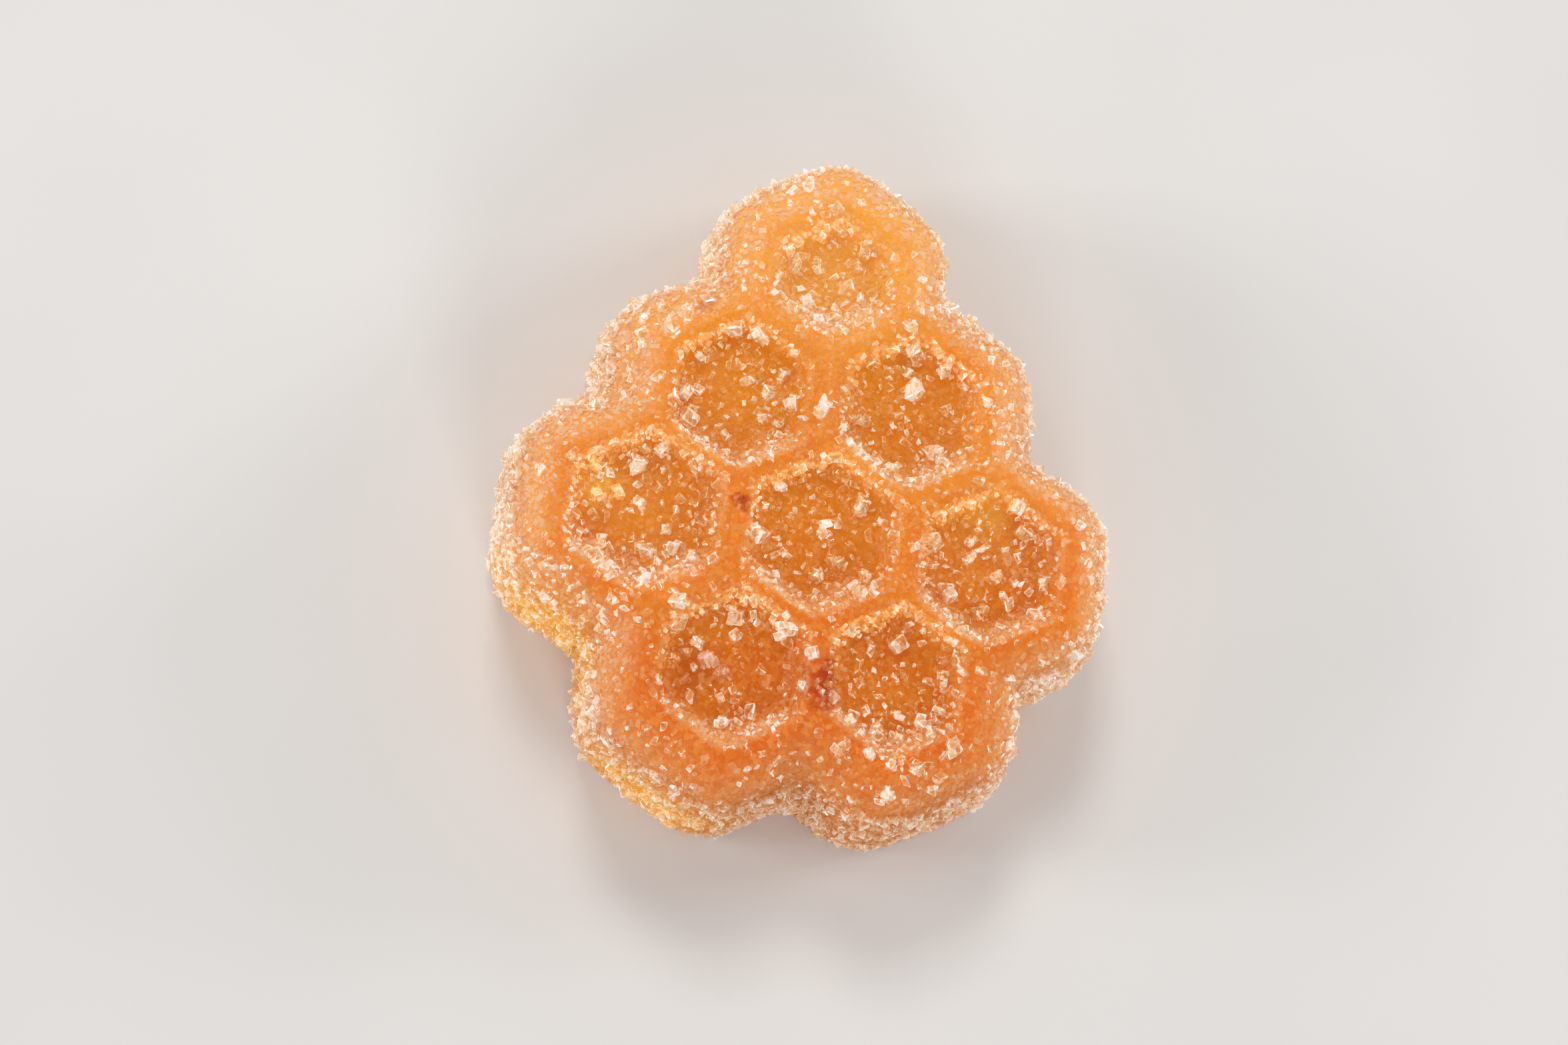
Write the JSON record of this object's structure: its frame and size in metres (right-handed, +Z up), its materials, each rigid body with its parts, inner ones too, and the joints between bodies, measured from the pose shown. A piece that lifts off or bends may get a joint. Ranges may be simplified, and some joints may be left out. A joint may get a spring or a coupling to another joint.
{
  "type": "sugared jelly sweet",
  "caption": "Thick lobed jelly sweet with a cluster of sunken six-sided cells in its upper face and coarse sugar grains fused on, lying on its flat back.",
  "frame": {"origin": "middle of the footprint, on the surface that the sweet lies on", "axes": "+Z up through the thickness, +Y along the length to the single cell at the narrow end"},
  "size_m": [0.0272, 0.0302, 0.0104],
  "materials": {
    "jelly": "orange jelly under a frosting of sugar",
    "sugar": "clear sugar crystals with frosted edges"
  },
  "bodies": {
    "root": {"sweet": "jelly"}
  },
  "joints": []
}
